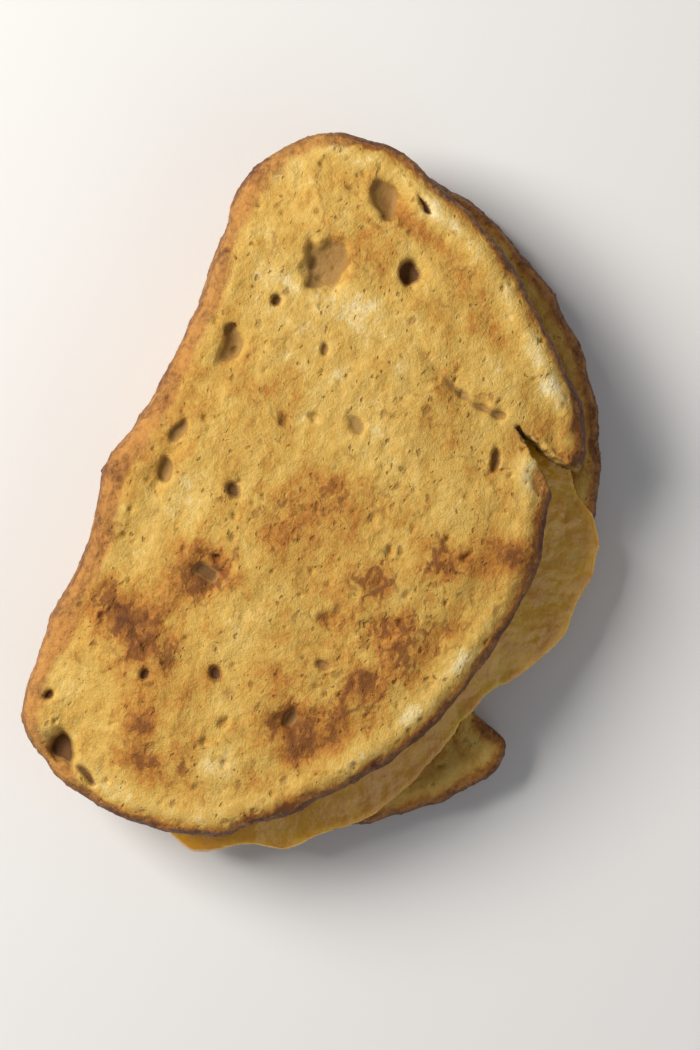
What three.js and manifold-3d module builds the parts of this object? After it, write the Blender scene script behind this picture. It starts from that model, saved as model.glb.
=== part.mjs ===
// A grilled cheese sandwich: two toasted slices of a crusty loaf with melted cheese between them.
// Millimetres, +Z up. The sandwich lies on its lower slice, with the middle of its footprint at the origin.
// +X runs along the loaf, +Y faces the loaf's flat base, and -Y faces its dome, where the cheese runs out.
// The slices were neighbours in the loaf and are opened like a book, so each has the same tear, mirrored.

import * as THREE from 'three';
import { mergeVertices } from 'three/addons/utils/BufferGeometryUtils.js';
import { ImprovedNoise } from 'three/addons/math/ImprovedNoise.js';
import Module from 'manifold-3d';

// Driving dimensions
const lowerThickness = 11;
const cheeseThickness = 3.6;
const upperThickness = 11.5;
const doming = 1.4;          // how far the middle of the upper face stands above its rim
const edgeSag = 2.8;         // how far the upper slice sinks past the cheese
const lowerFall = 1.2;       // how far the lower slice's inner face falls off towards its rim
const crustRound = 3.4;      // how far the upper slice's edge slopes in at the top, seen from above
const baseSlope = 1.6;       // how much more it slopes on the loaf's flat base
const gap = 0.3;             // what touching pieces keep between them

// The ovals that the faces bend along: 1 on the oval, less inside it
const upperOval = (x, y) => Math.hypot(x / 62, y / 40);
const lowerOval = (x, y) => Math.hypot(x / 62, y / 48);

// The unevenness of the upper face and of the slices' edges
const faceBumps = [{ size: 17, height: 0.45 }, { size: 6.5, height: 0.28 }];
const edgeBumpSize = 4.5;
const crustBumps = { upper: 0.45, lower: 0.6, cheese: 0.5 };

// How finely the surfaces are divided
const upperMesh = { around: 112, face: 17, rim: 6, underside: 3 };
const lowerMesh = { around: 104, face: 6, rim: 6, underside: 4 };
const cheeseMesh = { around: 116, face: 4, rim: 6, underside: 4 };

// The outlines, anticlockwise from above. The upper slice is 130 mm long and 80 mm from base to dome.
const upperOutline = [
  [59, 27], [48, 33.6], [28, 33.4], [3, 35], [-10, 38], [-22, 35.6], [-42, 36.6], [-57, 34.5],
  [-64, 26], [-67, 12], [-65, -3], [-58, -13], [-47, -24], [-31, -34.6], [-12, -40], [4, -41.5],
  [15, -38.8], [21.5, -42], [31, -39.5], [42, -28], [53, -14.5], [60, 0], [63.4, 14],
];
const lowerOutline = [
  [54, 25], [36, 28], [12, 27], [-12, 28.6], [-34, 27], [-52, 25.5], [-61, 16], [-64, 1], [-61, -14],
  [-55, -27], [-48, -37.5], [-40, -46], [-31.5, -51], [-24, -47], [-18, -45.6], [-6, -48.6], [7, -50],
  [20, -48.6], [34, -43], [43, -36], [51, -27], [58, -15], [62, -3], [62.5, 8], [60, 17],
];
const cheeseOutline = [
  [52, 24], [30, 28.4], [9, 30.2], [-13, 28], [-31, 30.4], [-49, 27], [-60, 18], [-66.5, 4], [-68.6, -5],
  [-64, -11.4], [-62.6, -18], [-57.6, -23.4], [-51, -31], [-42, -36], [-32, -39.5], [-24, -42], [-18, -46],
  [-9, -51.4], [-1, -52.2], [7, -53], [14, -50.4], [20, -43], [29, -37], [39, -29.6], [48, -20],
  [54.5, -8], [57, 9],
];

// The tears: each notch is the outline of what is missing, from its inner end out past the rim
const upperNotch = [
  [26, -25.4], [24.4, -30], [22, -36.5], [21.8, -41.6], [21, -50], [13, -50], [15.4, -39.4],
  [19, -35.2], [22.6, -30.2],
];
const lowerNotch = [
  [-24, -34], [-21.5, -40], [-19, -45], [-19, -56], [-29, -56], [-28.6, -50], [-26.6, -43.6],
];

// Where the tear goes on as a crease in the upper face
const crease = { from: [26, -25.4], bend: [24.3, -12.5], to: [36.6, -1.2], depth: 1.2, width: 2.2 };

// Shallow craters in the upper face, where the knife cut through large bubbles in the crumb
const craters = [
  { at: [38.4, 14.5], reach: [5, 4.2], depth: 1.1 },
  { at: [54.1, 7.8], reach: [3.8, 3.2], depth: 1.2 },
  { at: [42.9, -0.1], reach: [2.8, 2.4], depth: 1.6 },
  { at: [18.4, 24.7], reach: [4.2, 2.2], depth: 1 },
  { at: [-6, 27.9], reach: [5.8, 2], depth: 1.1 },
  { at: [-59.3, 26.1], reach: [3.8, 3], depth: 2.2 },
  { at: [-20.5, 13.8], reach: [5, 4.4], depth: 0.8 },
  { at: [-33.2, 23.6], reach: [6, 4], depth: 0.7 },
  { at: [-38.9, -10], reach: [3, 2.6], depth: 0.9 },
];

const noise = new ImprovedNoise();
const wasm = await Module();
wasm.setup();

// Smooth unevenness of about -1 to 1, whose bumps are bumpSize across.
function uneven(x, y, bumpSize, level) {
  return 1.6 * noise.noise(x / bumpSize, y / bumpSize, level);
}

// 0 below the low edge, 1 above the high edge, and a smooth rise between them.
function rise(low, high, value) {
  return THREE.MathUtils.smoothstep(value, low, high);
}

// The shortest distance from a point to the crease, and how far along it that is, from 0 to 1.
function besideCrease(x, y) {
  const steps = 12;
  let nearest = { distance: Infinity, along: 0 };
  for (let i = 0; i <= steps; i += 1) {
    const t = i / steps;
    const { from, bend, to } = crease;
    const [px, py] = [0, 1].map((k) => (1 - t) ** 2 * from[k] + 2 * t * (1 - t) * bend[k] + t * t * to[k]);
    const distance = Math.hypot(x - px, y - py);
    if (distance < nearest.distance) nearest = { distance, along: t };
  }
  return nearest;
}

// How far craters and the crease lower the upper face at a point.
function sunken(x, y) {
  let depth = 0;
  for (const { at, reach, depth: deepest } of craters) {
    const away = Math.hypot((x - at[0]) / reach[0], (y - at[1]) / reach[1]);
    depth += deepest * (1 - rise(0.5, 1.15, away));
  }
  const { distance, along } = besideCrease(x, y);
  return depth + crease.depth * (1 - along) * (1 - rise(0, crease.width, distance));
}

// How far the upper slice sinks where it reaches past the cheese.
function sag(x, y) {
  return edgeSag * rise(0.84, 1.16, upperOval(x, y));
}

// The surfaces that the slices and the cheese are made between
const cheeseTop = lowerThickness + cheeseThickness;
const upperBase = (x, y) => cheeseTop + gap - sag(x, y);
const upperFace = (x, y) => {
  const dome = doming * (1 - rise(0.2, 1.1, upperOval(x, y)));
  const bumps = faceBumps.reduce((sum, bump, level) => sum + bump.height * uneven(x, y, bump.size, level), 0);
  return upperBase(x, y) + upperThickness + dome + bumps - sunken(x, y);
};
const lowerFace = (x, y) => lowerThickness - lowerFall * rise(0.84, 1.1, lowerOval(x, y));

// A closed slab between two height functions, inside an outline whose edge is rounded like a crust.
// `round` gives the rounding at the top and the bottom of the edge at a point of the outline.
function slab(points, mesh, { top, bottom, round, roughness, grow = 0 }) {
  const corners = points.map(([x, y]) => new THREE.Vector3(x, y, 0));
  const curve = new THREE.CatmullRomCurve3(corners, true, 'centripetal');
  const edge = curve.getSpacedPoints(mesh.around).slice(0, mesh.around);
  const centre = new THREE.Vector3(-2, -4, 0);
  const edgeLevel = 8;
  const rings = [];

  const columns = edge.map((point, i) => {
    const before = edge[(i + mesh.around - 1) % mesh.around];
    const after = edge[(i + 1) % mesh.around];
    const inward = new THREE.Vector3(before.y - after.y, after.x - before.x, 0).normalize();
    const bump = roughness * uneven(point.x, point.y, edgeBumpSize, edgeLevel);
    const outer = point.clone().addScaledVector(inward, bump - grow);
    const [roundTop, roundBottom] = round(point.x, point.y);
    return { outer, inward, roundTop, roundBottom };
  });
  const inset = ({ outer, inward }, amount) => outer.clone().addScaledVector(inward, amount);

  const crowding = 0.82;
  for (let i = 1; i <= mesh.face; i += 1) {
    const share = (i / mesh.face) ** crowding;
    rings.push(columns.map((c) => {
      const p = centre.clone().lerp(inset(c, c.roundTop), share);
      return p.setZ(top(p.x, p.y) + grow);
    }));
  }
  const squareness = 0.7;
  for (let k = 1; k < mesh.rim; k += 1) {
    const angle = (Math.PI * k) / mesh.rim;
    const outward = Math.sin(angle) ** squareness;
    const lift = Math.sign(Math.cos(angle)) * Math.abs(Math.cos(angle)) ** squareness;
    rings.push(columns.map((c) => {
      const upperEnd = inset(c, c.roundTop);
      const lowerEnd = inset(c, c.roundBottom);
      const high = top(upperEnd.x, upperEnd.y) + grow;
      const low = bottom(lowerEnd.x, lowerEnd.y) - grow;
      const amount = (lift > 0 ? c.roundTop : c.roundBottom) * (1 - outward);
      return inset(c, amount).setZ((high + low) / 2 + (lift * (high - low)) / 2);
    }));
  }
  for (let i = mesh.underside; i >= 1; i -= 1) {
    rings.push(columns.map((c) => {
      const p = centre.clone().lerp(inset(c, c.roundBottom), i / mesh.underside);
      return p.setZ(bottom(p.x, p.y) - grow);
    }));
  }
  const first = centre.clone().setZ(top(centre.x, centre.y) + grow);
  const last = centre.clone().setZ(bottom(centre.x, centre.y) - grow);
  return closedRings(rings, first, last);
}

// Joins rings of points into one closed surface, with a single point at either end.
function closedRings(rings, first, last) {
  const around = rings[0].length;
  const positions = [first, ...rings.flat(), last].flatMap((p) => p.toArray());
  const at = (ring, i) => 1 + ring * around + (i % around);
  const end = 1 + rings.length * around;
  const faces = [];
  for (let i = 0; i < around; i += 1) {
    faces.push(0, at(0, i), at(0, i + 1));
    for (let ring = 0; ring + 1 < rings.length; ring += 1) {
      faces.push(at(ring, i), at(ring + 1, i), at(ring + 1, i + 1));
      faces.push(at(ring, i), at(ring + 1, i + 1), at(ring, i + 1));
    }
    faces.push(end, at(rings.length - 1, i + 1), at(rings.length - 1, i));
  }
  const geometry = new THREE.BufferGeometry();
  geometry.setAttribute('position', new THREE.Float32BufferAttribute(positions, 3));
  geometry.setIndex(faces);
  return geometry;
}

// An upright wall round an outline, tall enough to cut right through the sandwich.
function wedge(points) {
  const shape = new THREE.Shape(points.map(([x, y]) => new THREE.Vector2(x, y)));
  const height = 60;
  const wall = new THREE.ExtrudeGeometry(shape, { depth: height, bevelEnabled: false });
  return wall.translate(0, 0, -height / 3);
}

function toSolid(geometry) {
  const bare = new THREE.BufferGeometry().setAttribute('position', geometry.getAttribute('position'));
  bare.setIndex(geometry.index);
  const merged = mergeVertices(bare, 1e-4);
  const vertProperties = merged.attributes.position.array;
  const triVerts = new Uint32Array(merged.index.array);
  return new wasm.Manifold(new wasm.Mesh({ numProp: 3, vertProperties, triVerts }));
}

function toGeometry(solid) {
  const { vertProperties, triVerts } = solid.getMesh();
  const geometry = new THREE.BufferGeometry();
  geometry.setAttribute('position', new THREE.BufferAttribute(vertProperties, 3));
  geometry.setIndex(new THREE.BufferAttribute(triVerts, 1));
  geometry.computeVertexNormals();
  return geometry;
}

// The largest of the bodies that a solid falls into.
function mainBody(solid) {
  return solid.decompose().reduce((a, b) => (a.volume() > b.volume() ? a : b));
}

// The upper slice. Its edge slopes more on the loaf's flat base, at +Y, where the crust shows from above.
function upperSliceSolid(grow) {
  const round = (x, y) => [crustRound + baseSlope * rise(20, 34, y), 2];
  const roughness = crustBumps.upper;
  const body = slab(upperOutline, upperMesh, { top: upperFace, bottom: upperBase, round, roughness, grow });
  return toSolid(body).subtract(toSolid(wedge(upperNotch)));
}

// The lower slice, with its toasted face down and flat.
function lowerSliceSolid(grow) {
  const round = () => [2.6, 2.4];
  const roughness = crustBumps.lower;
  const body = slab(lowerOutline, lowerMesh, { top: lowerFace, bottom: () => 0, round, roughness, grow });
  return toSolid(body).subtract(toSolid(wedge(lowerNotch)));
}

// The cheese: a sheet between the slices that runs out over the lower slice's edge in rounded lips.
function cheeseSolid() {
  const lips = [
    { at: [-8, -52], reach: 12, drop: 4.6 },
    { at: [7, -53], reach: 12, drop: 6.6 },
    { at: [-68, -5], reach: 8, drop: 5.4 },
    { at: [-62, -20], reach: 7, drop: 3.8 },
    { at: [-46, -34], reach: 7, drop: 1.6 },
    { at: [9, 30], reach: 10, drop: 2.6 },
    { at: [-31, 30], reach: 9, drop: 3 },
  ];
  const hang = (x, y) => lips.reduce((sum, { at, reach, drop }) => {
    return sum + drop * (1 - rise(0.35, 1, Math.hypot(x - at[0], y - at[1]) / reach));
  }, 0);
  const sheetTop = (x, y) => cheeseTop - gap - sag(x, y) - 0.12 * hang(x, y);
  const sheetBottom = (x, y) => lowerFace(x, y) + 2 * gap - hang(x, y);
  const body = slab(cheeseOutline, cheeseMesh, {
    top: sheetTop, bottom: sheetBottom, round: () => [1.8, 1.4], roughness: crustBumps.cheese,
  });
  return mainBody(toSolid(body).subtract(lowerSliceSolid(gap)).subtract(upperSliceSolid(gap)));
}

function piece(name, solid, color, roughness) {
  const material = new THREE.MeshStandardMaterial({ color, roughness, metalness: 0 });
  const mesh = new THREE.Mesh(toGeometry(solid), material);
  mesh.name = name;
  return mesh;
}

const sandwich = new THREE.Group();
sandwich.add(piece('lower_slice', lowerSliceSolid(0), 0xb9803f, 0.85));
sandwich.add(piece('cheese', cheeseSolid(), 0xe0a634, 0.4));
sandwich.add(piece('upper_slice', upperSliceSolid(0), 0xd6a85c, 0.85));

// The middle of the footprint goes to the origin, and the lower slice's toasted face to the ground.
const extent = new THREE.Box3().setFromObject(sandwich);
const middle = extent.getCenter(new THREE.Vector3());
sandwich.position.set(-middle.x, -middle.y, -extent.min.z);

export default sandwich;
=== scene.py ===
"""A grilled cheese sandwich: two toasted slices of a crusty loaf with melted cheese between them."""

import math

import bmesh
import bpy
import numpy as np
from mathutils import Matrix, Vector
from mathutils.kdtree import KDTree


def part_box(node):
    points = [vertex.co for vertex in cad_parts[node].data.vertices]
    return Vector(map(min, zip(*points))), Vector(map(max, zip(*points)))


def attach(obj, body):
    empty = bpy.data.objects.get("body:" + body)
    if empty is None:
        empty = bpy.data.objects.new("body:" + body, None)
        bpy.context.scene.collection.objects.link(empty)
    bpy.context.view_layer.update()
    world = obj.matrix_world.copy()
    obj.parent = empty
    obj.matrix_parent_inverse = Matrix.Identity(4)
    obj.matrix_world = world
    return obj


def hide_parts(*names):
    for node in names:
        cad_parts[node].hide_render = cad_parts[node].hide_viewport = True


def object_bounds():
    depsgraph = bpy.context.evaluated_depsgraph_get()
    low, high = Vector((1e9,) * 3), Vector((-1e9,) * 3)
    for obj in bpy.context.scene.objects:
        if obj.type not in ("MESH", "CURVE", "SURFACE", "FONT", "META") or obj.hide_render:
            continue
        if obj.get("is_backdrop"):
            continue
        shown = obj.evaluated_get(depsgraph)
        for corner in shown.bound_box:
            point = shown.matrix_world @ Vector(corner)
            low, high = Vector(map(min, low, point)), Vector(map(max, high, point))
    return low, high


bl_info = {
    "name": "Grilled cheese sandwich",
    "version": (1, 0, 0),
    "blender": (4, 5, 0),
    "location": "3D View > Sidebar > Sandwich",
    "description": "Builds a toasted cheese sandwich round its packed model",
    "category": "Object",
}

MM = 0.001
BODY = "root"
FLOOR_DROP = 0.1 * MM
FLOOR_REACH = 3000 * MM

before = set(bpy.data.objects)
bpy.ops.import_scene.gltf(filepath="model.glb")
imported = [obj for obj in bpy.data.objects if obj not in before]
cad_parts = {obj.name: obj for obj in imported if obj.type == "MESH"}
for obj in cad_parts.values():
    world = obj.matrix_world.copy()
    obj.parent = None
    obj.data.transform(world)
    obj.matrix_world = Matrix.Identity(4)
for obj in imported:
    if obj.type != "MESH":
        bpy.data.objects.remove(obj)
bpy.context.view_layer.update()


# Places on a slice are shares of its box, from 0 at the low corner to 1 at the high one.
# The tear in each slice, from its inner end out past the rim, and how wide the torn crumb shows.
UPPER_TEAR = [(0.708, 0.212), (0.69, 0.09), (0.65, 0.0)]
LOWER_TEAR = [(0.305, 0.19), (0.322, 0.08), (0.335, 0.0)]
TEAR_REACH = 4.2 * MM

# The crease that goes on from the upper slice's tear: its start, bend and end.
CREASE = [(0.708, 0.212), (0.70, 0.372), (0.794, 0.515)]
# The browned wrinkle across the lower half of the upper face.
WRINKLE = [(0.35, 0.468), (0.375, 0.25), (0.44, 0.05)]

# Bubbles that the knife cut through: place, length and width in mm, depth in mm, turn in degrees, and how
# much painted shade darkens the floor.
CRATERS = [
    ((0.807, 0.708), (9.6, 8.0), 1.5, 0, 0.55),
    ((0.922, 0.640), (7.0, 5.2), 1.5, 30, 0.75),
    ((0.842, 0.526), (4.6, 3.8), 2.0, 20, 1.0),
    ((0.935, 0.548), (4.8, 1.5), 1.8, 55, 1.0),
    ((0.654, 0.834), (7.4, 3.4), 1.1, 0, 0.6),
    ((0.520, 0.873), (4.8, 2.2), 1.2, -10, 0.8),
    ((0.465, 0.868), (5.0, 2.6), 1.1, 10, 0.7),
    ((0.620, 0.513), (4.0, 3.0), 0.8, 40, 0.5),
    ((0.476, 0.711), (3.4, 2.2), 1.4, 60, 0.9),
    ((0.738, 0.781), (2.2, 1.8), 1.5, 0, 0.9),
    ((0.648, 0.196), (4.6, 1.6), 1.5, 10, 0.8),
    ((0.235, 0.596), (3.2, 2.4), 1.3, 30, 1.0),
    ((0.199, 0.740), (2.4, 1.8), 1.3, 0, 1.0),
    ((0.121, 0.921), (2.6, 2.2), 1.5, 0, 1.0),
    ((0.062, 0.850), (7.0, 4.2), 2.4, 50, 1.0),
    ((0.040, 0.775), (5.0, 2.0), 1.3, 60, 0.95),
    ((0.216, 0.403), (3.6, 2.6), 1.2, 20, 0.8),
    ((0.099, 0.300), (2.6, 1.6), 1.3, 30, 1.0),
    ((0.357, 0.699), (4.4, 3.2), 0.9, 70, 0.9),
    ((0.700, 0.640), (2.4, 1.6), 0.9, 20, 0.6),
    ((0.300, 0.380), (2.6, 1.8), 0.9, 80, 0.7),
]

# Where the face took more colour from the heat: place, reach in mm and strength.
BROWNED = [
    # The two blistered clusters near the base, and the smear below them
    ((0.357, 0.706), 5.8, 0.62), ((0.262, 0.822), 5.6, 0.66), ((0.269, 0.886), 4.0, 0.32),
    ((0.232, 0.784), 3.4, 0.45), ((0.241, 0.701), 3.1, 0.36), ((0.237, 0.603), 1.8, 0.60),
    ((0.135, 0.715), 3.0, 0.48), ((0.090, 0.662), 3.4, 0.52), ((0.107, 0.578), 2.4, 0.42),
    ((0.250, 0.480), 24.0, 0.16), ((0.420, 0.180), 17.0, 0.14),
    # The soft orange band across the middle
    ((0.441, 0.619), 5.6, 0.18), ((0.495, 0.535), 6.6, 0.16), ((0.526, 0.484), 4.4, 0.16),
    ((0.480, 0.570), 13.0, 0.12),
    # The mottled part towards the dome
    ((0.433, 0.345), 4.2, 0.55), ((0.496, 0.221), 4.6, 0.52), ((0.365, 0.236), 5.6, 0.38),
    ((0.291, 0.282), 3.6, 0.46), ((0.215, 0.411), 2.9, 0.50), ((0.231, 0.302), 6.4, 0.32),
    ((0.183, 0.378), 3.3, 0.38),
    # The rim and the flap
    ((0.539, 0.065), 2.8, 0.50), ((0.591, 0.075), 2.2, 0.40), ((0.282, 0.110), 3.0, 0.45),
    ((0.199, 0.180), 2.2, 0.45), ((0.105, 0.338), 2.5, 0.45), ((0.069, 0.422), 2.2, 0.35),
    ((0.207, 0.928), 2.2, 0.20), ((0.775, 0.909), 3.1, 0.35), ((0.985, 0.714), 2.4, 0.40),
    ((0.898, 0.945), 3.2, 0.90), ((0.903, 0.322), 1.9, 0.50), ((0.732, 0.055), 3.4, 0.55),
    ((0.682, 0.034), 2.4, 0.60), ((0.691, 0.129), 2.2, 0.50), ((0.440, 0.975), 2.7, 0.40),
    ((0.343, 0.941), 2.0, 0.40),
    # Mild patches in the upper part
    ((0.904, 0.554), 2.7, 0.28), ((0.803, 0.357), 3.6, 0.18), ((0.860, 0.780), 5.0, 0.14),
    ((0.620, 0.760), 3.5, 0.14),
]

# Where the face stayed paler: place, reach in mm and strength.
PALER = [
    # Beside the slot by the rim, the bright oval between the clusters, and the field near the base
    ((0.926, 0.527), 2.9, 0.50), ((0.303, 0.587), 5.2, 0.34), ((0.444, 0.799), 4.6, 0.34),
    ((0.356, 0.860), 3.2, 0.16),
    # The flap, and the rim below the tear
    ((0.814, 0.197), 3.3, 0.36), ((0.842, 0.288), 3.8, 0.26), ((0.765, 0.130), 2.6, 0.30),
    ((0.641, 0.096), 3.0, 0.45), ((0.577, 0.110), 2.2, 0.25),
    # The cream band inside the lower rim
    ((0.113, 0.510), 4.2, 0.34), ((0.144, 0.400), 3.3, 0.30), ((0.201, 0.247), 4.2, 0.42),
    ((0.294, 0.165), 3.8, 0.42), ((0.368, 0.107), 3.8, 0.36),
    # Lightly toasted fields
    ((0.667, 0.696), 5.6, 0.20), ((0.683, 0.588), 2.8, 0.24), ((0.651, 0.495), 3.6, 0.14),
    ((0.569, 0.358), 6.4, 0.16), ((0.944, 0.818), 5.3, 0.12), ((0.780, 0.620), 4.5, 0.14),
]

# The holes scattered over the toasted crumb. Radii are in mm, and a depth is a share of the hole's radius.
BUBBLES = {
    "per_square_centimetre": 0.7,
    "least_radius": 0.55,
    "greatest_radius": 1.5,
    "depth": 0.6,
    "seed": 4,
}
PORES = {
    "per_square_centimetre": 5.0,
    "least_radius": 0.26,
    "greatest_radius": 0.8,
    "depth": 0.8,
    "seed": 11,
}

# The photograph's view: how far its top is turned from +Y towards +X, in degrees, and which way on the ground
# plan the camera stands from the sandwich.
PICTURE_TURN = 68
CAMERA_ASIDE = (-11.7, 38.9)


def linear(code):
    """The linear red, green and blue of a colour written as a web code."""
    shares = [int(code[i : i + 2], 16) / 255 for i in (0, 2, 4)]
    return tuple(s / 12.92 if s <= 0.04045 else ((s + 0.055) / 1.055) ** 2.4 for s in shares)


def length(name, value, description):
    return bpy.props.FloatProperty(
        name=name, description=description, default=value, min=0, unit="LENGTH", precision=5
    )


def colour(name, code, description):
    return bpy.props.FloatVectorProperty(
        name=name, description=description, default=linear(code), min=0, max=1, size=3, subtype="COLOR"
    )


class SliceSettings(bpy.types.PropertyGroup):
    face_size: length("Face size", 0.4 * MM, "Size of a slice's faces")
    crust_ridge: length("Crust ridge", 0.45 * MM, "How far the crust stands above the crumb beside it")
    base_band: length("Base band", 2 * MM, "How far the base's crust reaches over the toasted face")
    crease_depth: length("Crease depth", 0.9 * MM, "Depth of the crease that goes on from the tear")
    crust_lumps: length("Crust lumps", 0.8 * MM, "How uneven the crust's side is")
    crumb_lumps: length("Crumb lumps", 0.62 * MM, "How uneven the toasted face is")
    pale: colour("Pale crumb", "ecdaa6", "The crumb that the heat hardly coloured")
    straw: colour("Straw crumb", "dab562", "Lightly toasted crumb")
    golden: colour("Golden crumb", "cca14b", "Toasted crumb")
    amber: colour("Amber crumb", "b87a30", "Well toasted crumb")
    brown: colour("Brown crumb", "7d4a1e", "The brownest crumb")
    # Painted shade: the hollow colour darkens the crater floors, the crease and tufts of torn crumb.
    hollow_shade: colour("Hollow crumb", "94703f", "The floor of a cut bubble")
    # The deep colour is the darkest char, and also painted shade on the floors of the deepest craters.
    deep: colour("Deep hollow", "4e2a10", "The floor of the deepest holes")
    crust_light: colour("Light crust", "c08440", "The crust where it is thin")
    crust_dark: colour("Dark crust", "5e3015", "The crust where it is baked hard")


class CheeseSettings(bpy.types.PropertyGroup):
    face_size: length("Face size", 0.4 * MM, "Size of the cheese's faces")
    folds: length("Folds", 0.5 * MM, "Height of the cheese's flow folds")
    yellow: colour("Yellow cheese", "f2b925", "The melted cheese")
    deep: colour("Deep cheese", "dd9a22", "The cheese where it ran and browned a little")
    milky: colour("Milky cheese", "ecd592", "The paler cheese that is stretched thin")


class StageSettings(bpy.types.PropertyGroup):
    camera_height: length("Camera height", 640 * MM, "How far the camera is above the surface")
    camera_side: length("Camera offset", 40 * MM, "How far the camera is from straight above the sandwich")
    lens: bpy.props.FloatProperty(name="Lens", description="Focal length", default=118, min=1, unit="CAMERA")
    floor: colour("Floor", "e3e2e0", "The plain surface under the sandwich")


class Socket:
    """An output in a node tree. Arithmetic on it adds Math nodes."""

    def __init__(self, nodes, output):
        self.nodes = nodes
        self.output = output

    def also(self, name):
        """Another output of the same node."""
        return Socket(self.nodes, self.output.node.outputs[name])

    def maths(self, operation, *values):
        return self.nodes.add("ShaderNodeMath", {"operation": operation}, dict(enumerate(values)))

    def __add__(self, other):
        return self.maths("ADD", self, other)

    def __radd__(self, other):
        return self.maths("ADD", other, self)

    def __sub__(self, other):
        return self.maths("SUBTRACT", self, other)

    def __rsub__(self, other):
        return self.maths("SUBTRACT", other, self)

    def __mul__(self, other):
        return self.maths("MULTIPLY", self, other)

    def __rmul__(self, other):
        return self.maths("MULTIPLY", other, self)

    def __truediv__(self, other):
        return self.maths("DIVIDE", self, other)

    def __pow__(self, other):
        return self.maths("POWER", self, other)

    def __abs__(self):
        return self.maths("ABSOLUTE", self)

    def most(self, other):
        return self.maths("MAXIMUM", self, other)


class Nodes:
    """Adds nodes to a tree, in plain calls."""

    def __init__(self, tree):
        self.tree = tree

    def add(self, kind, settings=None, sockets=None, output=0):
        """One output of a new node of a kind, with its settings and the values or links of its sockets."""
        node = self.tree.nodes.new(kind)
        for name, value in (settings or {}).items():
            if name == "stops":
                self.set_stops(node.color_ramp.elements, value)
            else:
                setattr(node, name, value)
        for key, value in (sockets or {}).items():
            if isinstance(value, Socket):
                self.tree.links.new(value.output, node.inputs[key])
            else:
                node.inputs[key].default_value = value
        return Socket(self, node.outputs[output]) if len(node.outputs) else node

    @staticmethod
    def set_stops(elements, stops):
        while len(elements) < len(stops):
            elements.new(1)
        for element, (place, tint) in zip(elements, stops):
            element.position = place
            element.color = (*tint, 1)

    def vector(self, operation, first, second):
        return self.add("ShaderNodeVectorMath", {"operation": operation}, {0: first, 1: second}, "Vector")

    def scaled(self, vector, factor):
        sockets = {0: vector, "Scale": factor}
        return self.add("ShaderNodeVectorMath", {"operation": "SCALE"}, sockets, "Vector")

    def ease(self, value, low, high):
        """0 below low, 1 above high, and a smooth rise between them. The two may be the other way round."""
        flipped = low > high
        sockets = {"Value": value, "From Min": min(low, high), "From Max": max(low, high)}
        sockets.update({"To Min": float(flipped), "To Max": float(not flipped)})
        return self.add("ShaderNodeMapRange", {"interpolation_type": "SMOOTHSTEP"}, sockets)

    def mix(self, factor, first, second):
        return self.add("ShaderNodeMix", {"data_type": "RGBA"}, {0: factor, 6: first, 7: second}, 2)

    def noise(self, where, size, detail=2.0, rough=0.5, warp=0.0):
        """Noise round 0, mostly from -0.5 to 0.5, whose bumps are size metres across."""
        sockets = {"Vector": where, "Scale": 1 / size, "Detail": detail}
        sockets.update({"Roughness": rough, "Distortion": warp})
        return (self.add("ShaderNodeTexNoise", None, sockets) - 0.5) * 1.6

    def cells(self, where, size, feature="F1"):
        """Distance in cells, each size metres across, to the nearest middle or to the nearest edge."""
        sockets = {"Vector": where, "Scale": 1 / size}
        return self.add("ShaderNodeTexVoronoi", {"feature": feature}, sockets)


class FormNodes(Nodes):
    """A Geometry Nodes tree with named inputs, used as a modifier."""

    def __init__(self, name):
        super().__init__(bpy.data.node_groups.new(name, "GeometryNodeTree"))
        self.tree.is_modifier = True
        self.ask("Geometry", "NodeSocketGeometry")
        self.tree.interface.new_socket(name="Geometry", in_out="OUTPUT", socket_type="NodeSocketGeometry")
        self.inputs = self.tree.nodes.new("NodeGroupInput")
        self.here = self.add("GeometryNodeInputPosition")
        self.normal = self.add("GeometryNodeInputNormal")

    def ask(self, name, kind="NodeSocketFloat"):
        self.tree.interface.new_socket(name=name, in_out="INPUT", socket_type=kind)

    def given(self, name):
        return Socket(self, self.inputs.outputs[name])

    def named(self, name):
        return self.add("GeometryNodeInputNamedAttribute", {"data_type": "FLOAT"}, {"Name": name})

    def keep(self, geometry, name, value):
        """The geometry with a value stored on its points under a name."""
        settings = {"data_type": "FLOAT", "domain": "POINT"}
        sockets = {"Geometry": geometry, "Name": name, "Value": value}
        return self.add("GeometryNodeStoreNamedAttribute", settings, sockets)

    def moved(self, geometry, offset):
        return self.add("GeometryNodeSetPosition", None, {"Geometry": geometry, "Offset": offset})

    def finish(self, geometry):
        geometry = self.add("GeometryNodeRealizeInstances", None, {"Geometry": geometry})
        sockets = {"Geometry": geometry, "Material": self.given("Material")}
        geometry = self.add("GeometryNodeSetMaterial", None, sockets)
        self.add("NodeGroupOutput", None, {"Geometry": geometry})
        return self.tree


def apply_tree(piece, tree, **values):
    """Runs a Geometry Nodes tree on a piece with the values of its named inputs, and keeps the plain mesh."""
    modifier = piece.modifiers.new(tree.name, "NODES")
    modifier.node_group = tree
    for item in tree.interface.items_tree:
        key = item.name.replace(" ", "_").lower()
        if item.in_out == "INPUT" and key in values:
            modifier[item.identifier] = values[key]
    bake_modifiers(piece)


def bake_modifiers(piece):
    """Turns a piece with its modifiers into a plain mesh."""
    evaluated = piece.evaluated_get(bpy.context.evaluated_depsgraph_get())
    mesh = bpy.data.meshes.new_from_object(evaluated)
    piece.modifiers.clear()
    piece.data = mesh
    mesh.name = piece.name


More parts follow.
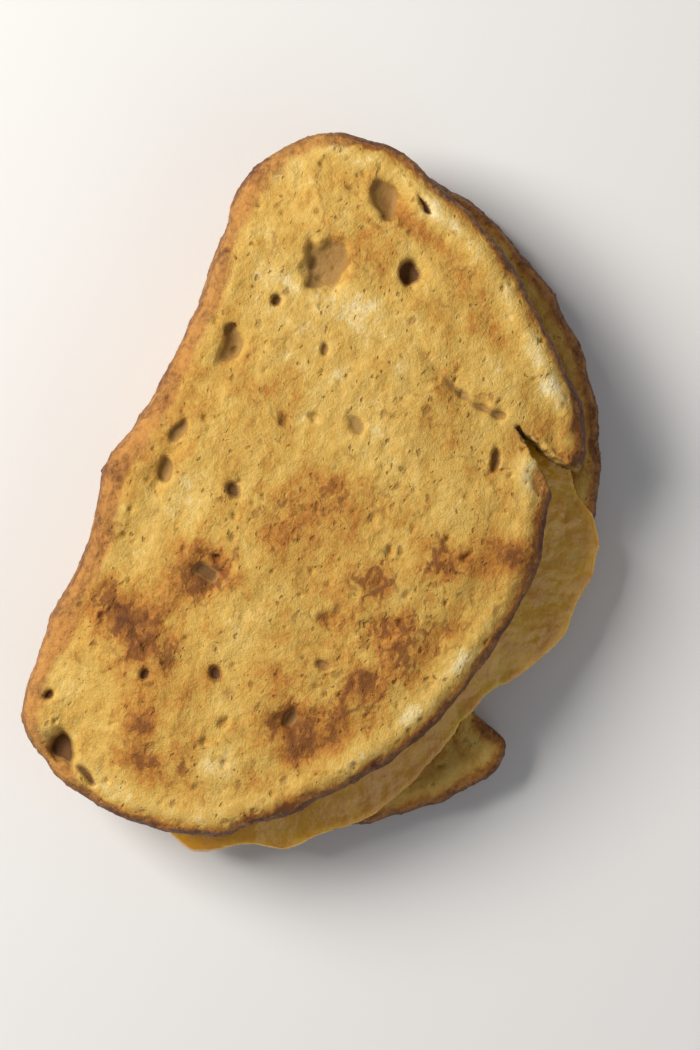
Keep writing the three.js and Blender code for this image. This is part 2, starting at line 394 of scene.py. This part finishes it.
def crumb_tree():
    """The uneven toasted crumb of a slice's faces, and the lumps and blisters of its crust."""
    form = FormNodes("Toasted relief")
    form.ask("Crumb lumps")
    form.ask("Crust lumps")
    form.ask("Material", "NodeSocketMaterial")
    here = form.here
    crust = form.named("crust")
    smooth_floor = 1 - form.named("crater") * 0.75
    broad = form.noise(here, 8 * MM, 2)
    middling = form.noise(here, 2.6 * MM, 3, 0.6, 0.4)
    warp = form.add("ShaderNodeTexNoise", None, {"Scale": 450.0}, "Color")
    warped = form.vector("ADD", here, form.scaled(warp, 1.5 * MM))
    drawn = form.vector("MULTIPLY", warped, (0.7, 1.0, 1.0))
    dimples = form.cells(drawn, 3.4 * MM) - 0.5
    grain = form.cells(drawn, 1.5 * MM) - 0.5
    patchy = form.ease(form.noise(here, 11 * MM, 2), -0.3, 0.4)
    crumb = broad * 0.5 + middling * 0.6 + dimples * 0.75 * patchy + grain * 0.5 * patchy
    crumb = crumb * form.given("Crumb lumps") * smooth_floor
    blister = form.ease(form.noise(here, 2.4 * MM, 2), 0.1, 0.5)
    creases = abs(form.noise(drawn, 2.4 * MM, 3, 0.6, 0.5)) * -1
    lumps = form.noise(here, 7 * MM, 2) * 0.9 + creases + form.noise(here, 1.2 * MM, 2) * 0.2 + blister * 0.3
    torn = form.named("tear")
    shaggy = (form.noise(here, 1.6 * MM, 3, 0.7) * 1.5 + grain * 0.9) * form.given("Crumb lumps")
    height = crumb * (1 - crust) + lumps * form.given("Crust lumps") * crust * (1 - torn) + shaggy * torn
    geometry = form.moved(form.given("Geometry"), form.scaled(form.normal, height))
    return form.finish(form.keep(geometry, "height", height / form.given("Crumb lumps")))


def hole_tree():
    """Round and oval holes scattered over a slice's toasted faces, each pushed into the surface."""
    form = FormNodes("Crumb holes")
    for name in ("Per square centimetre", "Least radius", "Greatest radius", "Depth"):
        form.ask(name)
    form.ask("Seed", "NodeSocketInt")
    form.ask("Material", "NodeSocketMaterial")
    geometry, seed = form.given("Geometry"), form.given("Seed")
    crumb = form.ease(form.named("crust") + form.named("rim") * 0.4, 0.7, 0.3)
    density = form.given("Per square centimetre") * (1e4 * crumb)
    sockets = {"Mesh": geometry, "Density": density, "Seed": seed}
    points = form.add("GeometryNodeDistributePointsOnFaces", None, sockets)
    nearest = form.add("GeometryNodeSampleNearest", None, {"Geometry": points, "Sample Position": form.here})
    settings = {"data_type": "FLOAT_VECTOR", "domain": "POINT"}
    sockets = {"Geometry": points, "Value": form.here, "Index": nearest}
    middle = form.add("GeometryNodeSampleIndex", settings, sockets)

    def draw(low, high, shift):
        sockets = {2: low, 3: high, "ID": nearest, "Seed": seed + shift}
        return form.add("FunctionNodeRandomValue", {"data_type": "FLOAT"}, sockets, 1)

    least = form.given("Least radius") * MM
    radius = least + (form.given("Greatest radius") * MM - least) * draw(0.0, 1.0, 1) ** 2.5
    away = form.vector("SUBTRACT", form.here, middle)
    sockets = {"Vector": away, "Angle": draw(0.0, math.pi, 2)}
    turned = form.add("ShaderNodeVectorRotate", {"rotation_type": "Z_AXIS"}, sockets)
    stretch = form.add("ShaderNodeCombineXYZ", None, {0: 1.0, 1: draw(0.55, 1.0, 3), 2: 1.0})
    oval = form.vector("DIVIDE", turned, stretch)
    distance = form.add("ShaderNodeVectorMath", {"operation": "LENGTH"}, {0: oval}, "Value") / radius
    ragged = distance + form.noise(form.here, 1.1 * MM, 2) * 0.8
    hole = form.ease(ragged, 1.1, 0.35) * crumb
    geometry = form.moved(geometry, form.scaled(form.normal, hole * radius * form.given("Depth") * -1))
    return form.finish(form.keep(geometry, "hole", form.named("hole").most(hole)))


def even_copy(node, name, face_size, rounds):
    """A closed mesh of even faces with the shape of a CAD node, its facets softened."""
    shape = bmesh.new()
    shape.from_mesh(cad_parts[node].data)
    bmesh.ops.remove_doubles(shape, verts=shape.verts, dist=1e-6)
    mesh = bpy.data.meshes.new(name)
    shape.to_mesh(mesh)
    shape.free()
    piece = bpy.data.objects.new(name, mesh)
    bpy.context.scene.collection.objects.link(piece)
    even = piece.modifiers.new("Even faces", "REMESH")
    even.mode = "VOXEL"
    even.voxel_size = face_size
    soft = piece.modifiers.new("Soften facets", "SMOOTH")
    soft.factor = 0.5
    soft.iterations = rounds
    bake_modifiers(piece)
    return piece


def points_of(piece):
    """The places and the normals of a piece's points, as two arrays."""
    count = len(piece.data.vertices)
    places = np.empty(count * 3, np.float32)
    piece.data.vertices.foreach_get("co", places)
    normals = np.empty(count * 3, np.float32)
    piece.data.vertex_normals.foreach_get("vector", normals)
    return places.reshape(-1, 3).astype(float), normals.reshape(-1, 3).astype(float)


def move_points(piece, places):
    piece.data.vertices.foreach_set("co", places.astype(np.float32).ravel())
    piece.data.update()


def keep_values(piece, **values):
    """Stores one value for each point under each name, for the node trees and the materials."""
    for name, value in values.items():
        attribute = piece.data.attributes.get(name) or piece.data.attributes.new(name, "FLOAT", "POINT")
        attribute.data.foreach_set("value", np.asarray(value, np.float32))


def values_of(piece, name):
    """The stored values of a name, one for each point."""
    values = np.empty(len(piece.data.vertices), np.float32)
    piece.data.attributes[name].data.foreach_get("value", values)
    return values.astype(float)


def smooth_rise(value, low, high):
    """0 where value is below low, 1 above high, and a smooth rise between. low may be the greater."""
    share = np.clip((value - low) / (high - low), 0, 1)
    return share * share * (3 - 2 * share)


def on_slice(node, share):
    """The place in the frame of a share of a slice's box, as x and y."""
    low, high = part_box(node)
    return np.array([low[k] + share[k] * (high[k] - low[k]) for k in (0, 1)])


def beside_path(flat, path):
    """How far points are from a path on the ground plan, and how far along it they are, from 0 to 1."""
    nearest = np.full(len(flat), np.inf)
    along = np.zeros(len(flat))
    for i, (start, end) in enumerate(zip(path, path[1:])):
        leg = end - start
        share = np.clip((flat - start) @ leg / (leg @ leg), 0, 1)
        distance = np.linalg.norm(flat - start - share[:, None] * leg, axis=1)
        closer = distance < nearest
        nearest = np.where(closer, distance, nearest)
        along = np.where(closer, (i + share) / (len(path) - 1), along)
    return nearest, along


def bent(node, three, steps=14):
    """Points along the curve from the first of three places to the last, drawn towards the middle one."""
    start, bend, end = (on_slice(node, share) for share in three)
    return [(1 - t) ** 2 * start + 2 * t * (1 - t) * bend + t * t * end for t in np.linspace(0, 1, steps)]


def far_from_side(places, on_side):
    """How far each point is from the points on the side."""
    chosen = np.flatnonzero(on_side)[::3]
    tree = KDTree(len(chosen))
    for i in chosen:
        tree.insert(places[i], i)
    tree.balance()
    return np.array([tree.find(place)[2] for place in places])


def hide_detail(piece, hidden, kept):
    """Leaves only a share of the faces, taking them where another piece hides them."""
    group = piece.vertex_groups.new(name="hidden")
    group.add(np.flatnonzero(hidden).tolist(), 1, "REPLACE")
    fewer = piece.modifiers.new("Fewer hidden faces", "DECIMATE")
    fewer.ratio = kept
    fewer.vertex_group = "hidden"
    bake_modifiers(piece)
    piece.vertex_groups.clear()


def waves(flat, size, turn):
    """Slow waves from about -1 to 1 over the ground plan, which make an edge uneven."""
    a, b = flat[:, 0] / size + turn, flat[:, 1] / size - turn
    first = np.sin(a + 1.7 * np.sin(b))
    second = np.sin(1.9 * b + 1.3 * np.sin(1.4 * a))
    third = np.sin(0.7 * a - 1.1 * b)
    return (first + second + third) / 3


def mark_slice(piece, node, tear, settings):
    """Stores a slice's crust, tear, base, rim and side, and how far inland each of its points is."""
    places, normals = points_of(piece)
    flat = places[:, :2]
    to_tear = beside_path(flat, [on_slice(node, share) for share in tear])[0]
    torn = smooth_rise(to_tear, TEAR_REACH, 0.6 * TEAR_REACH)
    inland = far_from_side(places, (np.abs(normals[:, 2]) < 0.3) & (torn < 0.5))
    base = smooth_rise(flat[:, 1], on_slice(node, (0, 0.72))[1], on_slice(node, (0, 0.86))[1])
    band = (2.3 + 1.1 * waves(flat, 2.6 * MM, 2)) * MM
    band += settings.base_band * base * (1 + 0.35 * waves(flat, 5 * MM, 1))
    softness = 0.6 * MM + 1.2 * MM * base
    crust = smooth_rise(inland, band + softness, band - softness) * (1 - torn)
    edge = smooth_rise(inland, 4 * MM, 1.6 * MM)
    rim = (0.6 * edge - 0.2 * lip_at(inland) + 0.2 * valley_at(inland)) * (1 - base)
    sideways = smooth_rise(np.abs(normals[:, 2]), 0.82, 0.5)
    side = smooth_rise(np.abs(normals[:, 2]), 0.75, 0.3) * (1 - torn)
    keep_values(piece, crust=crust, tear=sideways * torn, base=base, rim=rim, inland=inland, side=side)


def lip_at(inland):
    """1 on the raised lip just inside a slice's edge."""
    return smooth_rise(abs(inland - 4.4 * MM), 2.4 * MM, 0)


def valley_at(inland):
    """1 in the shallow valley inside the lip."""
    return smooth_rise(abs(inland - 9 * MM), 3.5 * MM, 0)


def shape_upper_face(piece, node, settings):
    """Cuts the craters, the crease and the wrinkle into the upper face, gives its browning, and stores the
    painted shade of the crater floors and the crease.
    """
    places, normals = points_of(piece)
    flat = places[:, :2]
    facing = smooth_rise(normals[:, 2], 0.3, 0.7)
    crater, sunk = np.zeros(len(places)), np.zeros(len(places))
    ragged = 0.3 * waves(flat, 1.1 * MM, 2)
    # Painted shade: dark is how much each crater's floor is darkened.
    for place, (long, wide), depth, turn, dark in CRATERS:
        angle = math.radians(turn)
        away = (flat - on_slice(node, place)) / MM
        across = away @ np.array([[math.cos(angle), -math.sin(angle)], [math.sin(angle), math.cos(angle)]])
        reach = np.hypot(across[:, 0] / (long / 2), across[:, 1] / (wide / 2)) + ragged
        crater = np.maximum(crater, dark * smooth_rise(reach, 1.12, 0.72))
        sunk = np.maximum(sunk, depth * MM * smooth_rise(reach, 1.25, 0.6))
    distance, along = beside_path(flat, bent(node, CREASE))
    groove = smooth_rise(distance + 0.5 * MM * waves(flat, 1.2 * MM, 3), 1.1 * MM, 0.1 * MM) * (1 - along)
    distance, along = beside_path(flat, bent(node, WRINKLE))
    wrinkle = smooth_rise(distance + 1.6 * MM * waves(flat, 3.5 * MM, 3), 1.8 * MM, 0.2 * MM) * (1 - along**3)
    sunk += settings.crease_depth * np.maximum(groove, 0.5 * wrinkle)
    # Painted shade: the crease is darkened like a crater floor.
    crater = np.maximum(crater, 0.8 * groove)
    places[:, 2] -= sunk * facing
    move_points(piece, places)
    browned = 0.3 * wrinkle * (0.6 + 0.6 * waves(flat, 4 * MM, 6))
    drifted = flat + 1.2 * MM * np.stack([waves(flat, 3 * MM, 0), waves(flat, 3 * MM, 4)], axis=1)
    for patches, sign in ((BROWNED, 1), (PALER, -1)):
        for place, reach, strength in patches:
            distance = np.linalg.norm(drifted - on_slice(node, place), axis=1)
            browned += sign * strength * np.exp(-((distance / (reach * MM)) ** 2))
    keep_values(piece, crater=crater * facing, browned=browned)


def toast(piece, settings, material):
    """Gives a slice its raised lip, crust, crumb and holes."""
    places, normals = points_of(piece)
    torn, base, inland = (values_of(piece, name) for name in ("tear", "base", "inland"))
    ridge = settings.crust_ridge * (lip_at(inland) - 0.6 * valley_at(inland)) * (1 - 0.5 * base) * (1 - torn)
    move_points(piece, places + normals * ridge[:, None])
    lumps = {"crumb_lumps": settings.crumb_lumps, "crust_lumps": settings.crust_lumps}
    apply_tree(piece, crumb_tree(), material=material, **lumps)
    holes = hole_tree()
    for values in (BUBBLES, PORES):
        apply_tree(piece, holes, material=material, **values)


def settle_on_floor(piece):
    """Keeps every point of a piece on or above the surface that it lies on."""
    places = points_of(piece)[0]
    places[:, 2] = np.maximum(places[:, 2], 0)
    move_points(piece, places)


def place_piece(piece, node):
    """Smooth shading, and the piece stands for its CAD node and moves with the sandwich."""
    piece.data.polygons.foreach_set("use_smooth", np.ones(len(piece.data.polygons), bool))
    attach(piece, BODY)
    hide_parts(node)


def new_material(name):
    """An empty node material: its nodes, its object coordinates and its shader's sockets to fill."""
    material = bpy.data.materials.new(name)
    material.use_nodes = True
    material.node_tree.nodes.clear()
    nodes = Nodes(material.node_tree)
    return material, nodes, nodes.add("ShaderNodeTexCoord", output="Object")


def close_material(nodes, sockets):
    shader = nodes.add("ShaderNodeBsdfPrincipled", None, sockets)
    nodes.add("ShaderNodeOutputMaterial", None, {"Surface": shader})


def rgba(tint):
    return (*tint, 1)


def toast_material(name, settings, warmth):
    """Toasted bread: crumb from pale to brown, holes darkened with painted shade, torn crumb partly in
    painted shade, and a baked crust.
    """
    material, nodes, where = new_material(name)

    def stored(attribute):
        return nodes.add("ShaderNodeAttribute", {"attribute_name": attribute}, output="Fac")

    def pinholes(size, largest):
        """1 in small round holes, one at most in each cell of a given size, and 0 round them."""
        distance = nodes.cells(drawn, size)
        chance = nodes.add("ShaderNodeSeparateColor", None, {"Color": distance.also("Color")})
        radius = chance**4 * largest + 0.02
        sockets = {"Value": distance, "From Min": radius * 0.4, "From Max": radius * 1.3}
        sockets.update({"To Min": 1.0, "To Max": 0.0})
        return nodes.add("ShaderNodeMapRange", {"interpolation_type": "SMOOTHSTEP"}, sockets)

    crust, torn, rim, browned = stored("crust"), stored("tear"), stored("rim"), stored("browned")
    hole, crater, height, base = stored("hole"), stored("crater"), stored("height"), stored("base")
    warp = nodes.add("ShaderNodeTexNoise", None, {"Vector": where, "Scale": 500.0, "Detail": 3.0}, "Color")
    drawn = nodes.vector("MULTIPLY", nodes.vector("ADD", where, nodes.scaled(warp, 2 * MM)), (0.65, 1.0, 1.0))
    drift = nodes.noise(where, 26 * MM, 2, 0.5, 0.6) * 0.38
    blotches = nodes.noise(where, 8 * MM, 3, 0.6, 0.8) * 0.40
    mottle = nodes.noise(drawn, 2.6 * MM, 4, 0.68, 0.5) * 0.50
    grain = nodes.noise(drawn, 0.55 * MM, 3, 0.75) * 0.36
    heat = drift + blotches + mottle + grain + height * 0.12 + browned * 0.62 + rim * 0.6 + warmth
    ramp = [
        (0.0, settings.pale),
        (0.26, settings.straw),
        (0.5, settings.golden),
        (0.74, settings.amber),
        (1.0, settings.brown),
    ]
    crumb = nodes.add("ShaderNodeValToRGB", {"stops": ramp}, {"Fac": heat})
    web = nodes.ease(nodes.cells(drawn, 3 * MM, "DISTANCE_TO_EDGE"), 0.22, 0.0)
    char = nodes.noise(drawn, 2.2 * MM, 4, 0.72, 0.6) + browned * 0.75 + web * browned * 0.8 + rim * 0.5
    crumb = nodes.mix(nodes.ease(char, 0.36, 0.8) * 0.85, crumb, rgba(settings.brown))
    crumb = nodes.mix(nodes.ease(char, 0.8, 1.3) * 0.6, crumb, rgba(settings.deep))
    walls = nodes.ease(nodes.cells(drawn, 4.5 * MM, "DISTANCE_TO_EDGE"), 0.07, 0.0)
    walls = walls * nodes.ease(nodes.noise(where, 5 * MM, 2) + heat * 0.3, 0.1, 0.5)
    crumb = nodes.mix(walls * 0.45, crumb, rgba(settings.brown))
    cream = nodes.ease(nodes.noise(drawn, 1.7 * MM, 3, 0.65) - browned * 0.7 - rim * 0.2, 0.22, 0.6)
    crumb = nodes.mix(cream * 0.42, crumb, rgba(settings.pale))
    # Painted shade: the pinholes and the pushed-in holes are darkened towards brown.
    shaded_pinholes = pinholes(2.3 * MM, 0.34).most(pinholes(1.1 * MM, 0.34)) * (1 - crater)
    crumb = nodes.mix(shaded_pinholes * 0.5, crumb, rgba(settings.brown))
    crumb = nodes.mix(hole * 0.45, crumb, rgba(settings.brown))
    scorch = nodes.noise(where, 5 * MM, 4, 0.7, 0.8) * 1.3 + nodes.noise(where, 1.1 * MM, 3, 0.7) * 0.8
    bake = scorch + browned * 0.6 + 0.42 - base * 0.22 + stored("side") * 0.34
    baked = nodes.mix(nodes.ease(bake, -0.1, 1.0), rgba(settings.crust_light), rgba(settings.crust_dark))
    edge = crust + nodes.noise(where, 2.2 * MM, 3, 0.6) * 0.5 * (1 - abs(crust * 2 - 1))
    surface = nodes.mix(nodes.ease(edge, 0.15, 0.9) * 0.9, crumb, baked)
    # Painted shade: crater floors and the crease take the hollow colour, and the darkest floors the deep
    # colour.
    surface = nodes.mix(nodes.ease(crater, 0.1, 0.55) * 0.8, surface, rgba(settings.hollow_shade))
    surface = nodes.mix(nodes.ease(crater, 0.7, 1.0) * 0.85, surface, rgba(settings.deep))
    # Partly painted shade: the torn crumb mixes straw tufts with darker tufts in the hollow colour.
    tufts = nodes.ease(nodes.noise(where, 2 * MM, 3), -0.3, 0.4)
    torn_crumb_and_shade = nodes.mix(tufts, rgba(settings.hollow_shade), rgba(settings.straw))
    surface = nodes.mix(torn * 0.8, surface, torn_crumb_and_shade)
    wrinkles = nodes.noise(where, 1.2 * MM, 4, 0.75, 0.8) * crust * 1.2
    bumps = nodes.noise(where, 0.42 * MM, 3, 0.75) * 0.7 + nodes.cells(drawn, 0.8 * MM) * 0.35 - shaded_pinholes * 0.9
    bumps = bumps * (1 - crater * 0.6) + wrinkles
    normal = nodes.add("ShaderNodeBump", None, {"Strength": 0.8, "Distance": 0.3 * MM, "Height": bumps})
    rough = 0.68 - crust * 0.12 - nodes.ease(heat, 0.4, 1.0) * 0.08 + hole * 0.1
    close_material(nodes, {
        "Base Color": surface,
        "Roughness": rough,
        "Normal": normal,
        "Specular IOR Level": 0.25,
    })
    return material


def cheese_tree():
    """The flow folds, the lumps and a few burst bubbles of the melted cheese."""
    form = FormNodes("Melted relief")
    form.ask("Folds")
    form.ask("Material", "NodeSocketMaterial")
    here = form.here
    drawn = form.vector("MULTIPLY", here, (1.0, 0.55, 0.8))
    folds = form.noise(drawn, 5 * MM, 2, 0.5, 1.4) + form.noise(here, 2.2 * MM, 2, 0.5, 0.6) * 0.35
    bubble = form.ease(form.cells(here, 3.6 * MM), 0.3, 0.12)
    bubble = bubble * form.ease(form.noise(here, 9 * MM, 1), 0.05, 0.3)
    height = folds - bubble * 0.9
    geometry = form.moved(form.given("Geometry"), form.scaled(form.normal, height * form.given("Folds")))
    return form.finish(form.keep(geometry, "height", height))


def cheese_material(settings):
    """Melted cheese: yellow, paler where it is thin, browner on its ridges, with an oily gloss."""
    material, nodes, where = new_material("Melted cheese")
    height = nodes.add("ShaderNodeAttribute", {"attribute_name": "height"}, output="Fac")
    streaks = nodes.noise(where, 9 * MM, 3, 0.55, 1.2) + height * 0.5
    tone = nodes.mix(nodes.ease(streaks, 0.45, -0.3), rgba(settings.deep), rgba(settings.yellow))
    milk = nodes.ease(nodes.noise(where, 5 * MM, 3, 0.6, 0.8) - height * 0.3, 0.12, 0.55)
    tone = nodes.mix(milk * 0.4, tone, rgba(settings.milky))
    bumps = nodes.noise(where, 1.6 * MM, 3, 0.55) + nodes.noise(where, 0.5 * MM, 2) * 0.3
    normal = nodes.add("ShaderNodeBump", None, {"Strength": 0.5, "Distance": 0.3 * MM, "Height": bumps})
    rough = 0.24 + nodes.noise(where, 3 * MM, 3) * 0.3
    close_material(nodes, {
        "Base Color": tone,
        "Roughness": rough,
        "Normal": normal,
        "Specular IOR Level": 0.6,
        "Coat Weight": 0.35,
        "Coat Roughness": 0.12,
        "Subsurface Weight": 0.4,
        "Subsurface Radius": (1.0, 0.6, 0.2),
        "Subsurface Scale": 2.5 * MM,
    })
    return material


class SANDWICH_OT_upper_slice(bpy.types.Operator):
    """Build the upper slice, with the toasted face that shows from above"""

    bl_idname = "sandwich.upper_slice"
    bl_label = "Upper slice"

    def execute(self, context):
        settings = context.scene.sandwich_slices
        piece = even_copy("upper_slice", "toasted_upper_slice", settings.face_size, 16)
        mark_slice(piece, "upper_slice", UPPER_TEAR, settings)
        hidden = (points_of(piece)[1][:, 2] < -0.9) & (values_of(piece, "inland") > 6 * MM)
        hide_detail(piece, hidden, kept=0.62)
        shape_upper_face(piece, "upper_slice", settings)
        toast(piece, settings, toast_material("Toasted bread, upper", settings, 0.44))
        place_piece(piece, "upper_slice")
        return {"FINISHED"}


class SANDWICH_OT_lower_slice(bpy.types.Operator):
    """Build the lower slice, which lies on its toasted face"""

    bl_idname = "sandwich.lower_slice"
    bl_label = "Lower slice"

    def execute(self, context):
        settings = context.scene.sandwich_slices
        piece = even_copy("lower_slice", "toasted_lower_slice", settings.face_size, 16)
        mark_slice(piece, "lower_slice", LOWER_TEAR, settings)
        hidden = (points_of(piece)[1][:, 2] > 0.9) & (values_of(piece, "inland") > 18 * MM)
        hide_detail(piece, hidden, kept=0.72)
        toast(piece, settings, toast_material("Toasted bread, lower", settings, 0.5))
        settle_on_floor(piece)
        place_piece(piece, "lower_slice")
        return {"FINISHED"}


class SANDWICH_OT_cheese(bpy.types.Operator):
    """Build the melted cheese between the slices"""

    bl_idname = "sandwich.cheese"
    bl_label = "Cheese"

    def execute(self, context):
        settings = context.scene.sandwich_cheese
        piece = even_copy("cheese", "melted_cheese", settings.face_size, 10)
        apply_tree(piece, cheese_tree(), material=cheese_material(settings), folds=settings.folds)
        place_piece(piece, "cheese")
        return {"FINISHED"}


class SANDWICH_OT_stage(bpy.types.Operator):
    """Set the plain floor, the soft light and the camera above the sandwich"""

    bl_idname = "sandwich.stage"
    bl_label = "Stage"

    def execute(self, context):
        settings = context.scene.sandwich_stage
        self.lay_floor(settings)
        self.hang_lights()
        self.set_camera(settings)
        return {"FINISHED"}

    def lay_floor(self, settings):
        shape = bmesh.new()
        bmesh.ops.create_grid(shape, x_segments=1, y_segments=1, size=FLOOR_REACH)
        mesh = bpy.data.meshes.new("floor")
        shape.to_mesh(mesh)
        shape.free()
        floor = bpy.data.objects.new("floor", mesh)
        bpy.context.scene.collection.objects.link(floor)
        floor.location.z = -FLOOR_DROP
        material, nodes, _ = new_material("Pale floor")
        close_material(nodes, {"Base Color": rgba(settings.floor), "Roughness": 0.7})
        mesh.materials.append(material)
        floor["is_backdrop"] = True

    def hang_lights(self):
        """A large soft lamp from the photograph's left, which is the loaf's base, and a weak one opposite."""
        lamps = [
            ("key", (0.04, 0.64, 0.56), 0.42, 9.7, (1.0, 0.965, 0.92)),
            ("fill", (-0.25, -0.75, 0.6), 0.9, 1.5, (0.95, 0.97, 1.0)),
        ]
        for name, place, size, power, tint in lamps:
            light = bpy.data.lights.new(name, "AREA")
            light.size = size
            light.energy = power
            light.color = tint
            lamp = bpy.data.objects.new(name, light)
            lamp.location = place
            lamp.rotation_euler = (-Vector(place)).to_track_quat("-Z", "Y").to_euler()
            bpy.context.scene.collection.objects.link(lamp)
        world = bpy.data.worlds.new("Soft room")
        world.use_nodes = True
        world.node_tree.nodes["Background"].inputs["Color"].default_value = (0.93, 0.95, 1.0, 1)
        world.node_tree.nodes["Background"].inputs["Strength"].default_value = 0.2
        bpy.context.scene.world = world
        bpy.context.scene.view_settings.view_transform = "Standard"

    def set_camera(self, settings):
        """The camera looks down with the same end of the sandwich at the top as in the photograph."""
        turn = math.radians(PICTURE_TURN)
        up = Vector((math.sin(turn), math.cos(turn), 0))
        low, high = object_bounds()
        target = (low + high) / 2
        stand = Vector((*CAMERA_ASIDE, 0)).normalized() * settings.camera_side
        place = Vector((stand.x, stand.y, settings.camera_height))
        back = (place - target).normalized()
        right = up.cross(back).normalized()
        data = bpy.data.cameras.new("camera")
        data.lens = settings.lens
        camera = bpy.data.objects.new("camera", data)
        rows = Matrix((right, back.cross(right), back)).transposed()
        camera.matrix_world = Matrix.Translation(place) @ rows.to_4x4()
        bpy.context.scene.collection.objects.link(camera)
        bpy.context.scene.camera = camera


class SANDWICH_PT_panel(bpy.types.Panel):
    """Lists the pieces of the sandwich"""

    bl_label = "Grilled cheese sandwich"
    bl_idname = "SANDWICH_PT_panel"
    bl_space_type = "VIEW_3D"
    bl_region_type = "UI"
    bl_category = "Sandwich"

    def draw(self, context):
        for operator in OPERATORS:
            self.layout.operator(operator.bl_idname)


OPERATORS = (SANDWICH_OT_stage, SANDWICH_OT_lower_slice, SANDWICH_OT_cheese, SANDWICH_OT_upper_slice)
SETTINGS = {
    "sandwich_slices": SliceSettings,
    "sandwich_cheese": CheeseSettings,
    "sandwich_stage": StageSettings,
}
CLASSES = (*SETTINGS.values(), *OPERATORS, SANDWICH_PT_panel)


def register():
    for each in CLASSES:
        bpy.utils.register_class(each)
    for name, group in SETTINGS.items():
        setattr(bpy.types.Scene, name, bpy.props.PointerProperty(type=group))


def unregister():
    for name in SETTINGS:
        delattr(bpy.types.Scene, name)
    for each in reversed(CLASSES):
        bpy.utils.unregister_class(each)


def main():
    register()
    bpy.ops.sandwich.stage()
    bpy.ops.sandwich.lower_slice()
    bpy.ops.sandwich.cheese()
    bpy.ops.sandwich.upper_slice()


if __name__ == "__main__":
    main()
